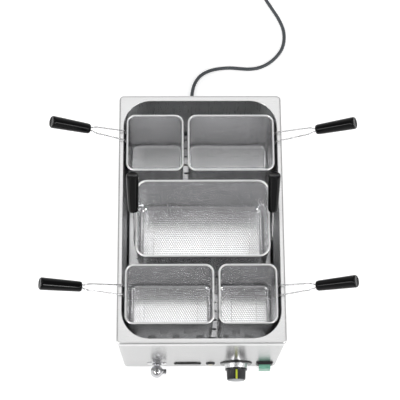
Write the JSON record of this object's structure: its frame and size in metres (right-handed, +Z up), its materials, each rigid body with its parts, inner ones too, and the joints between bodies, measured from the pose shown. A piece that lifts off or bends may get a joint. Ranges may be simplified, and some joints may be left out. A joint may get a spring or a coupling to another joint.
{
  "type": "pasta cooker",
  "caption": "Table-top electric pasta cooker: a steel water tank with perforated lift-out baskets, thermostat knob, rocker switch, indicator lamp, drain tap and power cord.",
  "frame": {"origin": "under the middle of the object, on the surface that its feet stand on", "axes": "+X to the right and +Y to the back, seen from the controls; +Z up"},
  "size_m": [0.6359, 1.0891, 0.436],
  "materials": {
    "deck_steel": "brushed stainless steel, fine straight grain",
    "tank_steel": "satin stainless steel, in the shade of the tank",
    "casing_steel": "brushed stainless steel sheet",
    "panel_steel": "bright, half mirror stainless steel",
    "plate_steel": "plain punched stainless steel",
    "basket_steel": "bright perforated stainless sheet",
    "wire_steel": "polished stainless wire",
    "screw_steel": "plain stainless screws",
    "element_steel": "heat-tinted dull steel tube",
    "brass": "plain turned brass",
    "copper": "drawn copper tube",
    "tap_chrome": "polished chromed brass",
    "ring_aluminium": "satin turned aluminium",
    "grip_black": "glossy black moulded plastic",
    "knob_black": "glossy black plastic",
    "frame_black": "dull black plastic",
    "plate_black": "glossy black plate, bare",
    "cap_grey": "satin grey insert",
    "pointer_green": "yellow-green paint or insert",
    "rocker_green": "translucent green plastic",
    "lens_pale": "pale translucent plastic",
    "ceramic_ivory": "ivory heat-proof plastic",
    "foot_rubber": "moulded rubber",
    "cord_grey": "dark grey rubber sheath",
    "gland_black": "dull black nylon",
    "pin_brass": "nickel plated brass pins"
  },
  "bodies": {
    "cooker": {"deck_plate": "deck_steel", "tank": "tank_steel", "casing_wrap": "casing_steel", "front_panel": "panel_steel", "base_plate": "plate_steel", "base_screws": "screw_steel", "feet": "foot_rubber", "foot_screws": "screw_steel", "false_bottom": "plate_steel", "heating_element": "element_steel", "tank_bushings": "brass", "bushing_nuts": "brass", "sensor_bulb": "copper", "sensor_clip": "screw_steel", "capillary_tube": "copper", "thermostat_body": "ceramic_ivory", "dial_plate": "plate_black", "dial_ring": "ring_aluminium", "switch_housing": "frame_black", "indicator_frame": "frame_black", "indicator_lens": "lens_pale", "blank_plate": "plate_black", "drain_pipe": "tank_steel", "tap_nut": "brass", "tap_flange": "tap_chrome", "tap_body": "tap_chrome", "safety_cutout": "ceramic_ivory", "terminal_block": "ceramic_ivory", "cable_gland": "gland_black", "power_cord": "cord_grey", "cord_coil": "cord_grey", "plug_body": "cord_grey", "plug_pins": "pin_brass"},
    "thermostat_knob": {"thermostat_shaft": "screw_steel", "control_knob": "knob_black", "knob_pointer": "pointer_green", "knob_cap": "cap_grey"},
    "switch_rocker_body": {"switch_rocker": "rocker_green"},
    "drain_lever": {"tap_ball": "tap_chrome", "tap_lever": "tap_chrome"},
    "back_small_basket": {"back_small_basket_shell": "basket_steel", "back_small_basket_rim": "wire_steel", "back_small_basket_handle": "wire_steel", "back_small_basket_grip": "grip_black"},
    "back_medium_basket": {"back_medium_basket_shell": "basket_steel", "back_medium_basket_rim": "wire_steel", "back_medium_basket_handle": "wire_steel", "back_medium_basket_grip": "grip_black"},
    "large_basket": {"large_basket_shell": "basket_steel", "large_basket_rim": "wire_steel", "large_basket_handle": "wire_steel", "large_basket_grip": "grip_black"},
    "front_medium_basket": {"front_medium_basket_shell": "basket_steel", "front_medium_basket_rim": "wire_steel", "front_medium_basket_handle": "wire_steel", "front_medium_basket_grip": "grip_black"},
    "front_small_basket": {"front_small_basket_shell": "basket_steel", "front_small_basket_rim": "wire_steel", "front_small_basket_handle": "wire_steel", "front_small_basket_grip": "grip_black"}
  },
  "joints": [
    {"name": "knob_turn", "type": "hinge", "parent": "cooker", "child": "thermostat_knob", "pos_m": [0.0785, -0.28, 0.066], "axis": [0, 1, 0], "range_deg": [0, 270]},
    {"name": "rocker_tip", "type": "hinge", "parent": "cooker", "child": "switch_rocker_body", "pos_m": [0.1403, -0.265, 0.066], "axis": [1, 0, 0], "range_deg": [0, 14]},
    {"name": "tap_turn", "type": "hinge", "parent": "cooker", "child": "drain_lever", "pos_m": [-0.0945, -0.28, 0.066], "axis": [1, 0, 0], "range_deg": [-90, 0]},
    {"name": "back_small_lift", "type": "slide", "parent": "cooker", "child": "back_small_basket", "axis": [0, 0, 1], "range_m": [0, 0.24]},
    {"name": "back_medium_lift", "type": "slide", "parent": "cooker", "child": "back_medium_basket", "axis": [0, 0, 1], "range_m": [0, 0.24]},
    {"name": "large_lift", "type": "slide", "parent": "cooker", "child": "large_basket", "axis": [0, 0, 1], "range_m": [0, 0.24]},
    {"name": "front_medium_lift", "type": "slide", "parent": "cooker", "child": "front_medium_basket", "axis": [0, 0, 1], "range_m": [0, 0.24]},
    {"name": "front_small_lift", "type": "slide", "parent": "cooker", "child": "front_small_basket", "axis": [0, 0, 1], "range_m": [0, 0.24]}
  ]
}
